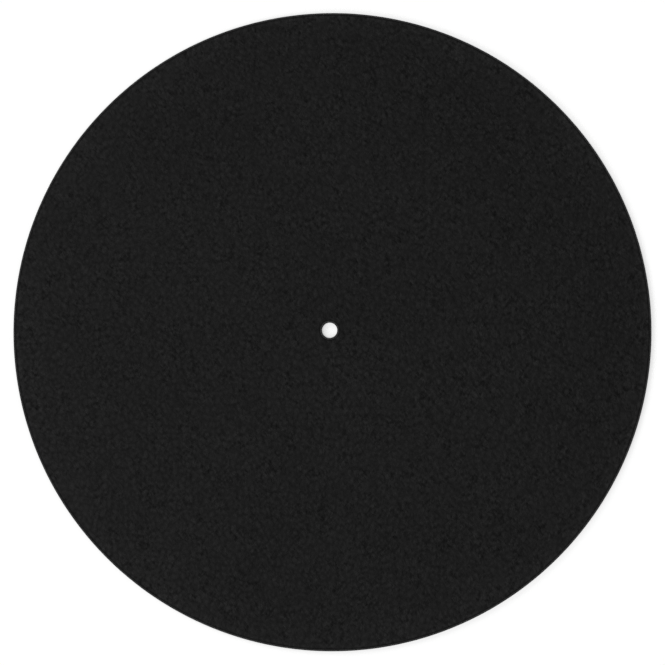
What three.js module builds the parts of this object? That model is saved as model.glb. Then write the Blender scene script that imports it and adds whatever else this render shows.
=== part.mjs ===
// A platter mat for a record player: one round of black pebble-grain leather, die cut from a hide.
// It lies loose on the platter with its grain side up, the spindle stands up through its middle, and the
// record lies on it. Millimetres, +Z up. The origin is the middle of the spindle hole, on the underside.
import * as THREE from "three";

// The sheet, and the two cuts that make the mat of it
const matDiameter = 300; // a 12-inch record, 301 mm across, just covers it
const leatherThickness = 2;
const spindleHoleDiameter = 7.2; // punched to the spindle's own size, because leather gives

// The die comes down on the grain side: it draws that edge over and leaves the suede side nearly sharp.
const rimGrainRadius = 0.5;
const rimSuedeRadius = 0.15;
const holeGrainRadius = 0.3;
const holeSuedeRadius = 0.1;

// Facets: a count that four divides puts the widest points on the X and Y axes
const stepsAround = 240;
const stepsPerEdge = 4; // in each rounded edge, an even count

const blackLeather = new THREE.MeshStandardMaterial({
  name: "black_leather",
  color: 0x1d1d1d,
  roughness: 0.65,
  metalness: 0,
});

// The mat's section from the spindle's axis outwards, as a closed path of radius against height. It runs
// out along the suede side, up the rim, back along the grain side and down the wall of the hole.
function matSection() {
  const rim = matDiameter / 2;
  const hole = spindleHoleDiameter / 2;
  const top = leatherThickness;
  const quarter = Math.PI / 2;
  const section = new THREE.Path();
  section.moveTo(hole + holeSuedeRadius, 0);
  section.lineTo(rim - rimSuedeRadius, 0);
  section.absarc(rim - rimSuedeRadius, rimSuedeRadius, rimSuedeRadius, -quarter, 0);
  section.absarc(rim - rimGrainRadius, top - rimGrainRadius, rimGrainRadius, 0, quarter);
  section.absarc(hole + holeGrainRadius, top - holeGrainRadius, holeGrainRadius, quarter, 2 * quarter);
  section.absarc(hole + holeSuedeRadius, holeSuedeRadius, holeSuedeRadius, 2 * quarter, 3 * quarter);
  return section.getPoints(stepsPerEdge / 2); // a path gives each of its arcs two steps for every one asked
}

function makePlatterMat() {
  const turned = new THREE.LatheGeometry(matSection(), stepsAround);
  turned.rotateX(Math.PI / 2); // the lathe turns about Y, and the spindle stands along Z
  const mat = new THREE.Mesh(turned, blackLeather);
  mat.name = "platter_mat";
  return mat;
}

const platterMat = new THREE.Group();
platterMat.add(makePlatterMat());

export default platterMat;
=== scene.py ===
# A platter mat for a record player, lying on a pale floor and seen from above: one round of black leather
# with a pebbled grain side, a suede side, die-cut edges and a punched spindle hole. Metres, +Z up.
import math

import bpy
import numpy as np
from mathutils import Matrix, Vector


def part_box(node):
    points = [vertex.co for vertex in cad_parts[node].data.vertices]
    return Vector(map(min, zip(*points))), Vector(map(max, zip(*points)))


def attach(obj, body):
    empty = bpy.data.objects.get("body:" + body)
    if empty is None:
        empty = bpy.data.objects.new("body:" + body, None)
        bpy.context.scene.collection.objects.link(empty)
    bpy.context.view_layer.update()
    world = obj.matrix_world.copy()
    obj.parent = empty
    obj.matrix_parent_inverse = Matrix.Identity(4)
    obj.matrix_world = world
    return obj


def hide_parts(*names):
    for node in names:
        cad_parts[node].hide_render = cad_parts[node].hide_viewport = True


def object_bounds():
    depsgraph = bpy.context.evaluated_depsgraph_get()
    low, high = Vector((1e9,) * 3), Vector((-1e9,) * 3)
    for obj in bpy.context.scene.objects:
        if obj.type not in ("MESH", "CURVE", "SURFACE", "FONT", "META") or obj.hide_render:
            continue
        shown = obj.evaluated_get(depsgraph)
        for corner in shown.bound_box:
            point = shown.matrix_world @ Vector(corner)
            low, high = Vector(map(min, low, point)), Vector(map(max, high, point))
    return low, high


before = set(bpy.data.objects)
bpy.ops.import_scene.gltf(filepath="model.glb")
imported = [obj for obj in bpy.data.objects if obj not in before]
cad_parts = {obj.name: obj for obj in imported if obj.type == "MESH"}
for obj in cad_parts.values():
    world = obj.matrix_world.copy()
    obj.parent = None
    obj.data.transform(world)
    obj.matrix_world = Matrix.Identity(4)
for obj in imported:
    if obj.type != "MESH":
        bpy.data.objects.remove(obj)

cad_low, cad_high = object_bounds()
scene = bpy.context.scene


# The camera
# It looks down on the middle of the grain side from 600 mm above, a little off the spindle's axis, and its
# lens is shifted a little, so that the mat lies where the photograph has it.
CAMERA_DISTANCE = 0.600
CAMERA_TILT = (math.radians(2.09), math.radians(-1.41))  # towards +X and +Y
FRAME_PIXELS = 665
FOCAL_PIXELS = 1278.0
MIDDLE_PIXELS = (329.53, 330.24)  # where the middle of the grain side falls in the frame
SENSOR_WIDTH = 36.0
NEAREST_SEEN = 0.01

grain_middle = Vector((0.0, 0.0, cad_high[2]))
lean_x = math.sin(CAMERA_TILT[0])
lean_y = math.sin(CAMERA_TILT[1])
backward = Vector((lean_x, lean_y, math.sqrt(1.0 - lean_x**2 - lean_y**2)))
right = Vector((0.0, 1.0, 0.0)).cross(backward).normalized()
upward = backward.cross(right)
facing = Matrix((right, upward, backward)).transposed().to_4x4()

camera_data = bpy.data.cameras.new("camera")
camera_data.sensor_width = SENSOR_WIDTH
camera_data.lens = FOCAL_PIXELS / FRAME_PIXELS * SENSOR_WIDTH
camera_data.shift_x = 0.5 - MIDDLE_PIXELS[0] / FRAME_PIXELS
camera_data.shift_y = MIDDLE_PIXELS[1] / FRAME_PIXELS - 0.5
camera_data.clip_start = NEAREST_SEEN
camera = bpy.data.objects.new("camera", camera_data)
camera.matrix_world = Matrix.Translation(grain_middle + CAMERA_DISTANCE * backward) @ facing
scene.collection.objects.link(camera)
scene.camera = camera


# The platter mat
# One round of chrome-tanned leather, 2 mm thick and dyed black right through. A die cut it from the hide
# with its grain side up, and punched the spindle hole. It lies loose, with nothing on it and nothing fixed.
mat_low, mat_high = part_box("platter_mat")
RIM = (mat_high[0] - mat_low[0]) / 2  # the rim's radius, and below it the spindle hole's
HOLE = 0.0036
TOP = mat_high[2]

# The die draws the grain side's edges over, and leaves the suede side's nearly sharp.
RIM_GRAIN_EDGE = 0.0005
RIM_SUEDE_EDGE = 0.00015
HOLE_GRAIN_EDGE = 0.0003
HOLE_SUEDE_EDGE = 0.0001

# How far apart the vertices are
GRAIN_STEP = 0.00097
CUT_STEP = 0.0016
SUEDE_STEP = 0.005
HOLE_STEPS = 48  # round the hole, and the fewest in any ring
EDGE_STEPS = 4  # over each rounded edge
WALL_STEPS = 3  # up the rim's wall, and down the hole's

# The grain's relief: pebbles with creases between them, in groups with deeper furrows between the groups
PEBBLE = 0.0027  # from one pebble to the next
PEBBLE_STRETCH = 1.2  # they are a little longer along Y, the way that the hide grew
PEBBLE_WANDER = 0.0011  # how far their borders wander from straight lines
WANDER_PATCH = 0.005
CREASE_HALF_WIDTH = 0.0009
CREASE_DEPTH = 0.00018
COARSENESS = 0.85  # the share of that depth that the creases have on average
COARSENESS_BY_PATCH = 0.45  # and how much more or less of it they have from patch to patch
COARSENESS_BY_PEBBLE = 0.1
COARSE_PATCH = 0.016
GROUP = 0.0068  # from one group to the next
GROUP_WANDER = 2  # the furrows wander this many times as far as the creases
FURROW_HALF_WIDTH = 0.0024
FURROW_DEPTH = 0.00013
LUMP = 0.0022  # small lumps, which run on over pebbles and creases
LUMP_HEIGHT = 0.00009
SWELL = 0.00005  # the hide is a little thicker here and thinner there
SWELL_PATCH = 0.035
PRESSED_WIDTH = 0.0025  # along the cuts, where the die pressed the grain flatter
PRESSED_SHARE = 0.4  # of the relief is left right at the cut
SUEDE_NAP = 0.00004  # how far the suede side rises and falls
NAP_PATCH = 0.008

# The dye took unevenly, in tiny patches.
MOTTLE = 0.0013
MOTTLE_BY_PEBBLE = 0.1
MOTTLE_DARKENING = 0.6

grain_random = np.random.default_rng(5)


def smooth_step(share):
    """From 0 to 1 as the share does, as u*u*(3 - 2*u)."""
    share = np.clip(share, 0, 1)
    return share * share * (3 - 2 * share)


def soft_noise(x, y, size, random, even=False):
    """Value noise from -1 to 1: random numbers on a square lattice of this size, and between four of them
    the blend u*u*(3 - 2*u) along each side. Where it is to be even, each number loses the mean of the nine
    in whose middle it is, so that no broad patches come of them."""
    count = int(2 * RIM / size) + 4  # two to spare on each side
    lattice = random.uniform(-1, 1, (count, count))
    if even:
        steps = (-1, 0, 1)
        lattice = lattice - sum(np.roll(lattice, (i, j), (0, 1)) for i in steps for j in steps) / 9
    column, across = np.divmod(x / size + count / 2, 1)
    row, along = np.divmod(y / size + count / 2, 1)
    column = np.clip(column.astype(int), 0, count - 2)
    row = np.clip(row.astype(int), 0, count - 2)
    across, along = smooth_step(across), smooth_step(along)
    low = lattice[column, row] * (1 - across) + lattice[column + 1, row] * across
    high = lattice[column, row + 1] * (1 - across) + lattice[column + 1, row + 1] * across
    return low * (1 - along) + high * along


def pebbles(x, y, size, random):
    """The pebbles of a grain: one seed in each cell of a square lattice, shaken off its middle, and each
    place belongs to its nearest seed. Returns how far the place is from the crease with the next pebble,
    which is (far*far - near*near) / (2 * seed to seed), and the pebble's own random number from -1 to 1."""
    count = int(2 * RIM / size) + 8  # four to spare on each side
    shake = random.uniform(-0.5, 0.5, (2, count, count))
    own = random.uniform(-1, 1, (count, count))
    column = np.floor(x / size).astype(int) + count // 2
    row = np.floor(y / size).astype(int) + count // 2
    near = np.full(x.shape, np.inf)
    far = np.full(x.shape, np.inf)
    near_seed = np.zeros((2,) + x.shape)
    far_seed = np.zeros((2,) + x.shape)
    number = np.zeros(x.shape)
    for across in range(-2, 3):
        for along in range(-2, 3):
            i = column + across
            j = row + along
            seed_x = (i - count // 2 + 0.5 + shake[0, i, j]) * size
            seed_y = (j - count // 2 + 0.5 + shake[1, i, j]) * size
            seed = np.array((seed_x, seed_y))
            away = np.hypot(seed_x - x, seed_y - y)
            is_near = away < near
            is_far = ~is_near & (away < far)
            far = np.where(is_near, near, np.where(is_far, away, far))
            far_seed = np.where(is_near, near_seed, np.where(is_far, seed, far_seed))
            near = np.where(is_near, away, near)
            near_seed = np.where(is_near, seed, near_seed)
            number = np.where(is_near, own[i, j], number)
    between = np.hypot(*(far_seed - near_seed))
    return (far**2 - near**2) / (2 * between), number


def rounded_edge(middle, height, radius, start, end):
    """Points of the section on a rounded edge, an arc of this radius round (middle, height) between two
    angles in degrees, as (distance from the axis, height) pairs."""
    turn = np.radians(np.linspace(start, end, EDGE_STEPS + 1))
    return np.stack((middle + radius * np.cos(turn), height + radius * np.sin(turn)), axis=1)


def straight_stretch(start, end, steps):
    """Points of the section on a straight stretch, start*(1 - share) + end*share, without its two ends."""
    share = np.arange(1, steps)[:, None] / steps
    return np.array(start) * (1 - share) + np.array(end) * share


def mat_section():
    """The closed path that the mat turns about the spindle's axis: out along the suede side, up the rim,
    in along the grain side and down the wall of the hole. Returns its points, and how many vertices the
    ring of each has, which is its way round divided by the stretch's step."""
    even_height = math.sqrt(0.75)  # of a triangle with three sides of 1
    grain_rings = round((RIM - HOLE) / (GRAIN_STEP * even_height))
    suede_rings = round((RIM - HOLE) / SUEDE_STEP)
    grain_out = (RIM - RIM_GRAIN_EDGE, TOP)
    grain_in = (HOLE + HOLE_GRAIN_EDGE, TOP)
    suede_out = (RIM - RIM_SUEDE_EDGE, 0.0)
    suede_in = (HOLE + HOLE_SUEDE_EDGE, 0.0)
    rim_wall = ((RIM, RIM_SUEDE_EDGE), (RIM, TOP - RIM_GRAIN_EDGE))
    hole_wall = ((HOLE, TOP - HOLE_GRAIN_EDGE), (HOLE, HOLE_SUEDE_EDGE))
    stretches = [
        (straight_stretch(suede_in, suede_out, suede_rings), SUEDE_STEP),
        (rounded_edge(suede_out[0], RIM_SUEDE_EDGE, RIM_SUEDE_EDGE, -90, 0), CUT_STEP),
        (straight_stretch(*rim_wall, WALL_STEPS), CUT_STEP),
        (rounded_edge(grain_out[0], TOP - RIM_GRAIN_EDGE, RIM_GRAIN_EDGE, 0, 90), GRAIN_STEP),
        (straight_stretch(grain_out, grain_in, grain_rings), GRAIN_STEP),
        (rounded_edge(grain_in[0], TOP - HOLE_GRAIN_EDGE, HOLE_GRAIN_EDGE, 90, 180), CUT_STEP),
        (straight_stretch(*hole_wall, WALL_STEPS), CUT_STEP),
        (rounded_edge(suede_in[0], HOLE_SUEDE_EDGE, HOLE_SUEDE_EDGE, 180, 270), CUT_STEP),
    ]
    points = np.concatenate([points for points, step in stretches])
    steps = np.concatenate([np.full(len(points), step) for points, step in stretches])
    counts = np.maximum(np.rint(2 * math.pi * points[:, 0] / steps).astype(int), HOLE_STEPS)
    return points, counts


def between_rings(first, count, next_first, next_count):
    """Triangles between two rings that start at the same angle, each given by its first vertex and its
    count. Each edge of either ring makes one, and its third corner is the other ring's vertex nearest its
    middle: that vertex's number is (edge + 1/2) * other count / own count, rounded."""
    edge = np.arange(count)
    nearest = -((count - (2 * edge + 1) * next_count) // (2 * count))
    up = (first + edge, first + (edge + 1) % count, next_first + nearest % next_count)
    edge = np.arange(next_count)
    nearest = ((2 * edge + 1) * count + next_count) // (2 * next_count)
    down = (next_first + edge, first + nearest % count, next_first + (edge + 1) % next_count)
    return np.concatenate((np.stack(up, axis=1), np.stack(down, axis=1)))


points, counts = mat_section()
firsts = np.concatenate(([0], np.cumsum(counts)[:-1]))
ring = np.repeat(np.arange(len(counts)), counts)
turn = 2 * math.pi * (np.arange(len(ring)) - firsts[ring]) / counts[ring]
x = points[ring, 0] * np.cos(turn)
y = points[ring, 0] * np.sin(turn)
z = points[ring, 1]

# The relief goes down from the pebbles' tops, and dies away down the cut edges.
drift_x = PEBBLE_WANDER * soft_noise(x, y, WANDER_PATCH, grain_random)
drift_y = PEBBLE_WANDER * soft_noise(x, y, WANDER_PATCH, grain_random)
from_crease, pebble_own = pebbles(x + drift_x, (y + drift_y) / PEBBLE_STRETCH, PEBBLE, grain_random)
group_x = x + GROUP_WANDER * drift_x
group_y = (y + GROUP_WANDER * drift_y) / PEBBLE_STRETCH
from_furrow = pebbles(group_x, group_y, GROUP, grain_random)[0]
rise = smooth_step(from_crease / CREASE_HALF_WIDTH)
by_patch = COARSENESS_BY_PATCH * soft_noise(x, y, COARSE_PATCH, grain_random)
coarseness = COARSENESS + by_patch + COARSENESS_BY_PEBBLE * pebble_own
crease = CREASE_DEPTH * coarseness * (1 - rise)
furrow = FURROW_DEPTH * (1 - smooth_step(from_furrow / FURROW_HALF_WIDTH))

# The lattices of the lumps and of the dye's patches lie cornerwise.
slant_x = (x - y) / math.sqrt(2)
slant_y = (x + y) / math.sqrt(2)
between_lumps = LUMP_HEIGHT * (1 - soft_noise(slant_x, slant_y, LUMP, grain_random, even=True))
patches = soft_noise(slant_x, slant_y, MOTTLE, grain_random, even=True)
mottle = (MOTTLE_BY_PEBBLE * pebble_own + patches) / (MOTTLE_BY_PEBBLE + 1)
mottle = mottle - MOTTLE_DARKENING * mottle**2

swell = SWELL * (soft_noise(x, y, SWELL_PATCH, grain_random) - 1)
nap = SUEDE_NAP * (1 + soft_noise(x, y, NAP_PATCH, grain_random)) / 2
grain_share = np.clip(z / TOP, 0, 1) ** 2
from_cut = np.minimum(RIM - points[ring, 0], points[ring, 0] - HOLE)
pressed = PRESSED_SHARE + (1 - PRESSED_SHARE) * smooth_step(from_cut / PRESSED_WIDTH)
depth = pressed * (crease + furrow + between_lumps)
z = z + grain_share * (swell - depth) + (1 - grain_share) * nap

triangles = np.concatenate(
    [
        between_rings(firsts[k], counts[k], firsts[(k + 1) % len(counts)], counts[(k + 1) % len(counts)])
        for k in range(len(counts))
    ]
)
mat_mesh = bpy.data.meshes.new("leather_mat")
mat_mesh.from_pydata(np.stack((x, y, z), axis=1), [], triangles)
mat_mesh.polygons.foreach_set("use_smooth", np.ones(len(triangles), dtype=bool))
for name, values in (("grain_rise", rise), ("pebble_tone", mottle)):
    mat_mesh.attributes.new(name, "FLOAT", "POINT").data.foreach_set("value", values.astype(np.float32))

# The grain side's faces wear the first material, and the suede side's and the cuts' the second.
middle_height = points[ring[triangles], 1].mean(axis=1)
is_suede = middle_height < TOP - RIM_GRAIN_EDGE
mat_mesh.polygons.foreach_set("material_index", is_suede.astype(np.int32))
mat_mesh.validate()
mat_mesh.update()

# The grain side's colour is the dye's own black times a tone, which is the product of several. Where a
# texture gives a tone, its two values under NOISE become the two under TONES.
BLACKEST = (0, 0, 0, 1)
PALEST = (0.0543, 0.0543, 0.0543, 1)
PALEST_TONE = 10  # the tone at which the colour is PALEST
MOTTLE_TONES = (0.76, 1.24)
# Painted shade: the tone is darker at the creases' bottoms, where shade falls, and a little paler on the
# pebbles' tops.
CREASE_SHADE_TONES = (0.77, 1.04)  # at the creases' bottoms, and on the pebbles' tops
STREAK = 0.00125  # fine streaks, drawn out along two ways that cross
STREAK_STRETCH = 1.8
STREAK_TURNS = (44, -44)  # degrees from Y
STREAK_NOISE = (0.6, 1.18)  # of the two ways' noises together
STREAK_TONES = (0.27, 1.315)
CLOUD = 0.06
CLOUD_NOISE = (0.3, 0.7)
CLOUD_TONES = (0.89, 1.11)

# The plate that embossed the grain pressed harder here and softer there. Where it pressed hard, the tones
# stand further from the middle one, and the wrinkles are deeper.
EMBOSSING = 0.008
EMBOSSING_NOISE = (0.36, 0.64)
EMBOSSING_CONTRASTS = (0.52, 1.32)
EMBOSSING_BUMPS = (0.5, 1.0)
MIDDLE_TONE = 0.76

# Bands along the cuts: each has its own tone up to the first distance, and has faded out by the second.
EDGE_SHADE_FADE = (0.00125, 0.00155)  # painted shade: a dark band where the rounded edge turns away from the light
EDGE_SHADE_TONE = 0.05
WORN_FADE = (0.0007, 0.0009)  # the very edge, rubbed to grey, which adds its tone to the others
WORN_TONE = 4.2
RIM_SHEEN_FADE = (0.0023, 0.0030)  # painted sheen: a paler band behind the band of painted shade at the rim
RIM_SHEEN_TONE = 1.22
BROAD_SHEEN_FADE = (0.0030, 0.0180)  # painted sheen: the grain is painted paler towards the rim
BROAD_SHEEN_TONE = 1.20

# Gloss and fine relief: creases are duller than pebbles, and wrinkles and pores lie across both.
CREASE_ROUGHNESS = 0.75
PEBBLE_ROUGHNESS = 0.6
GRAIN_GLOSS = 0.12
WRINKLE = 0.0021
WRINKLE_REACH = 0.22  # how far a wrinkle reaches, as a share of the way between two
WRINKLE_HEIGHT = 0.7
PORE = 0.0006
PORE_HEIGHT = 0.4
GRAIN_BUMP = 0.00018


def new_material(name):
    """A node material that holds a Principled shader and its output, and that shader."""
    material = bpy.data.materials.new(name)
    material.use_nodes = True
    nodes = material.node_tree.nodes
    nodes.clear()
    shader = nodes.new("ShaderNodeBsdfPrincipled")
    output = nodes.new("ShaderNodeOutputMaterial")
    material.node_tree.links.new(shader.outputs["BSDF"], output.inputs["Surface"])
    return material, shader


def attribute_node(tree, name):
    """The number that the mesh's attribute of this name gives each vertex."""
    node = tree.nodes.new("ShaderNodeAttribute")
    node.attribute_name = name
    return node.outputs["Fac"]


def noise_node(tree, place, size, detail, rough=0.5, stretch=1, turn=0):
    """Blender's noise texture on the Object coordinates, with features of about this size in metres, drawn
    out this many times along the Y axis turned by so many degrees."""
    mapping = tree.nodes.new("ShaderNodeMapping")
    mapping.vector_type = "TEXTURE"
    mapping.inputs["Rotation"].default_value[2] = math.radians(turn)
    mapping.inputs["Scale"].default_value[1] = stretch
    texture = tree.nodes.new("ShaderNodeTexNoise")
    texture.inputs["Scale"].default_value = 1 / size
    texture.inputs["Detail"].default_value = detail
    texture.inputs["Roughness"].default_value = rough
    tree.links.new(place, mapping.inputs["Vector"])
    tree.links.new(mapping.outputs["Vector"], texture.inputs["Vector"])
    return texture.outputs["Fac"]


def range_node(tree, value, old, new):
    """A value between the two old numbers becomes one between the two new ones, and stays within them."""
    node = tree.nodes.new("ShaderNodeMapRange")
    node.inputs["From Min"].default_value = old[0]
    node.inputs["From Max"].default_value = old[1]
    node.inputs["To Min"].default_value = new[0]
    node.inputs["To Max"].default_value = new[1]
    tree.links.new(value, node.inputs["Value"])
    return node.outputs["Result"]


def math_node(tree, operation, first, *others):
    """The first value with each of the others in turn, as in first*second*third. Each is a socket or a
    number."""
    result = first
    for other in others:
        node = tree.nodes.new("ShaderNodeMath")
        node.operation = operation
        for value, socket in ((result, node.inputs[0]), (other, node.inputs[1])):
            if isinstance(value, (int, float)):
                socket.default_value = value
            else:
                tree.links.new(value, socket)
        result = node.outputs["Value"]
    return result


def dye_node(tree, share, blackest, palest):
    """A colour between two blacks: blackest*(1 - share) + palest*share."""
    node = tree.nodes.new("ShaderNodeMix")
    node.data_type = "RGBA"
    node.inputs["A"].default_value = blackest
    node.inputs["B"].default_value = palest
    tree.links.new(share, node.inputs["Factor"])
    return node.outputs["Result"]


def bump_node(tree, height, distance, shader):
    """Bends the shader's normal by a height that is a share of this distance in metres."""
    node = tree.nodes.new("ShaderNodeBump")
    node.inputs["Strength"].default_value = 1.0
    node.inputs["Distance"].default_value = distance
    tree.links.new(height, node.inputs["Height"])
    tree.links.new(node.outputs["Normal"], shader.inputs["Normal"])
    return node


def from_axis_node(tree, place):
    """How far a place is from the spindle's axis: the length of (x, y, 0)."""
    flat = tree.nodes.new("ShaderNodeVectorMath")
    flat.operation = "MULTIPLY"
    flat.inputs[1].default_value = (1, 1, 0)
    tree.links.new(place, flat.inputs[0])
    radius = tree.nodes.new("ShaderNodeVectorMath")
    radius.operation = "LENGTH"
    tree.links.new(flat.outputs["Vector"], radius.inputs[0])
    return radius.outputs["Value"]


def grain_material():
    """Black grain leather: dull, mottled all over, with painted shade in the creases, fine wrinkles and
    pores, painted shade along its cuts, grey wear at the very edge, and painted sheen towards the rim."""
    material, shader = new_material("black_grain_leather")
    tree = material.node_tree
    place = tree.nodes.new("ShaderNodeTexCoord").outputs["Object"]
    rise = attribute_node(tree, "grain_rise")

    by_mottle = range_node(tree, attribute_node(tree, "pebble_tone"), (-1, 1), MOTTLE_TONES)
    # Painted shade in the creases.
    by_crease_shade = range_node(tree, rise, (0, 1), CREASE_SHADE_TONES)
    by_cloud = range_node(tree, noise_node(tree, place, CLOUD, detail=1), CLOUD_NOISE, CLOUD_TONES)
    one_way, other_way = (
        noise_node(tree, place, STREAK, detail=0, stretch=STREAK_STRETCH, turn=turn)
        for turn in STREAK_TURNS
    )
    streaks = math_node(tree, "ADD", one_way, other_way)
    by_streak = range_node(tree, streaks, STREAK_NOISE, STREAK_TONES)
    embossing = noise_node(tree, place, EMBOSSING, detail=1)
    by_embossing = range_node(tree, embossing, EMBOSSING_NOISE, EMBOSSING_CONTRASTS)
    tone = math_node(tree, "MULTIPLY", by_mottle, by_crease_shade, by_streak)
    tone = math_node(tree, "SUBTRACT", tone, MIDDLE_TONE)
    tone = math_node(tree, "MULTIPLY", tone, by_embossing)
    tone = math_node(tree, "ADD", tone, MIDDLE_TONE)
    tone = math_node(tree, "MULTIPLY", tone, by_cloud)

    from_axis = from_axis_node(tree, place)
    from_rim = math_node(tree, "SUBTRACT", RIM, from_axis)
    from_hole = math_node(tree, "SUBTRACT", from_axis, HOLE)
    from_cut = math_node(tree, "MINIMUM", from_rim, from_hole)
    # Painted shade: a dark band just inside both cuts, standing for the shade of the rounded edge.
    by_edge_shade = range_node(tree, from_cut, EDGE_SHADE_FADE, (EDGE_SHADE_TONE, 1))
    # Painted sheen: a paler band near the rim.
    by_rim_sheen = range_node(tree, from_rim, RIM_SHEEN_FADE, (RIM_SHEEN_TONE, 1))
    # Painted sheen: the grain grows paler towards the rim.
    by_broad_sheen = range_node(tree, from_rim, BROAD_SHEEN_FADE, (BROAD_SHEEN_TONE, 1))
    by_wear = range_node(tree, from_cut, WORN_FADE, (WORN_TONE, 0))
    tone = math_node(tree, "MULTIPLY", tone, by_edge_shade, by_rim_sheen, by_broad_sheen)
    tone = math_node(tree, "ADD", tone, by_wear)
    share = math_node(tree, "MULTIPLY", tone, 1 / PALEST_TONE)
    tree.links.new(dye_node(tree, share, BLACKEST, PALEST), shader.inputs["Base Color"])

    roughness = range_node(tree, rise, (0, 1), (CREASE_ROUGHNESS, PEBBLE_ROUGHNESS))
    tree.links.new(roughness, shader.inputs["Roughness"])
    shader.inputs["Specular IOR Level"].default_value = GRAIN_GLOSS

    wrinkles = tree.nodes.new("ShaderNodeTexVoronoi")
    wrinkles.feature = "DISTANCE_TO_EDGE"
    wrinkles.inputs["Scale"].default_value = 1 / WRINKLE
    tree.links.new(place, wrinkles.inputs["Vector"])
    wrinkled = range_node(tree, wrinkles.outputs["Distance"], (0, WRINKLE_REACH), (0, WRINKLE_HEIGHT))
    pores = noise_node(tree, place, PORE, detail=3, rough=0.6)
    height = math_node(tree, "ADD", wrinkled, math_node(tree, "MULTIPLY", pores, PORE_HEIGHT))
    bump = bump_node(tree, height, GRAIN_BUMP, shader)
    bump_strength = range_node(tree, embossing, EMBOSSING_NOISE, EMBOSSING_BUMPS)
    tree.links.new(bump_strength, bump.inputs["Strength"])
    return material


# The suede side and the cuts: short fibres that lie every way, and soft patches where they lie alike
FIBRE = 0.0011
FIBRE_SHARE = 0.5
FIBRE_BUMP = 0.0003
SUEDE_PATCH = 0.016
SUEDE_NOISE = (0.3, 0.7)
SUEDE_BLACKEST = (0.010, 0.010, 0.010, 1)
SUEDE_PALEST = (0.042, 0.041, 0.040, 1)
SUEDE_ROUGHNESS = 0.9
SUEDE_GLOSS = 0.1


def suede_material():
    """The suede side and the cuts: the same black, matt, with short fibres lying every way."""
    material, shader = new_material("black_suede")
    tree = material.node_tree
    place = tree.nodes.new("ShaderNodeTexCoord").outputs["Object"]
    fibres = noise_node(tree, place, FIBRE, detail=4, rough=0.7)
    patches = noise_node(tree, place, SUEDE_PATCH, detail=3)
    by_fibre = math_node(tree, "MULTIPLY", fibres, FIBRE_SHARE)
    by_patch = math_node(tree, "MULTIPLY", patches, 1 - FIBRE_SHARE)
    share = range_node(tree, math_node(tree, "ADD", by_fibre, by_patch), SUEDE_NOISE, (0, 1))
    tree.links.new(dye_node(tree, share, SUEDE_BLACKEST, SUEDE_PALEST), shader.inputs["Base Color"])
    shader.inputs["Roughness"].default_value = SUEDE_ROUGHNESS
    shader.inputs["Specular IOR Level"].default_value = SUEDE_GLOSS
    bump_node(tree, fibres, FIBRE_BUMP, shader)
    return material


mat_mesh.materials.append(grain_material())
mat_mesh.materials.append(suede_material())
leather_mat = bpy.data.objects.new("leather_mat", mat_mesh)
scene.collection.objects.link(leather_mat)
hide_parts("platter_mat")
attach(leather_mat, "root")


# The floor
# A plain pale surface under the mat. It keeps the mat's shadow, and towards the camera it shines a little
# by itself, which makes it white.
FLOOR_SIZE = 60.0
FLOOR_GREY = 0.66
FLOOR_SHINE = 0.36
FLOOR_ROUGHNESS = 0.9

bpy.ops.mesh.primitive_plane_add(size=FLOOR_SIZE, location=(0, 0, cad_low[2]))
floor = bpy.context.object
floor.name = "floor"
floor_material, floor_shader = new_material("pale_floor")
floor_tree = floor_material.node_tree
floor_shader.inputs["Base Color"].default_value = (FLOOR_GREY, FLOOR_GREY, FLOOR_GREY, 1)
floor_shader.inputs["Roughness"].default_value = FLOOR_ROUGHNESS
floor_shader.inputs["Specular IOR Level"].default_value = 0.0
floor_shader.inputs["Emission Color"].default_value = (1, 1, 1, 1)
to_camera = floor_tree.nodes.new("ShaderNodeLightPath").outputs["Is Camera Ray"]
shine = math_node(floor_tree, "MULTIPLY", to_camera, FLOOR_SHINE)
floor_tree.links.new(shine, floor_shader.inputs["Emission Strength"])
floor.data.materials.append(floor_material)


# The light
# Two soft lights low on the left make the grain stand out, one high up lights the pebbles' tops, and the
# room's own light does the rest. Their shares add up to 1, the level at which white renders white.
ROOM_SHARE = 0.34
SOFT_LIGHTS = {  # in degrees: its turn from +X, its height above the floor, and how wide it looks
    "light_left_front": {"share": 0.14, "turn": 220, "height": 30, "width": 25},
    "light_left_back": {"share": 0.12, "turn": 140, "height": 30, "width": 25},
    "light_above": {"share": 0.40, "turn": 215, "height": 76, "width": 35},
}

for name, light in SOFT_LIGHTS.items():
    turn, height = math.radians(light["turn"]), math.radians(light["height"])
    outward = math.cos(height)
    towards = Vector((math.cos(turn) * outward, math.sin(turn) * outward, math.sin(height)))
    sun = bpy.data.lights.new(name, "SUN")
    sun.angle = math.radians(light["width"])
    sun.energy = light["share"] * math.pi / math.sin(height)
    lamp = bpy.data.objects.new(name, sun)
    lamp.rotation_euler = towards.to_track_quat("Z", "Y").to_euler()
    scene.collection.objects.link(lamp)

world = bpy.data.worlds.new("room")
world.use_nodes = True
scene.world = world
world_tree = world.node_tree
seen = world_tree.nodes.new("ShaderNodeLightPath").outputs["Is Camera Ray"]
background = world_tree.nodes["Background"]
background.inputs["Color"].default_value = (1, 1, 1, 1)
room_strength = range_node(world_tree, seen, (0, 1), (ROOM_SHARE, 1))
world_tree.links.new(room_strength, background.inputs["Strength"])
scene.view_settings.view_transform = "Standard"
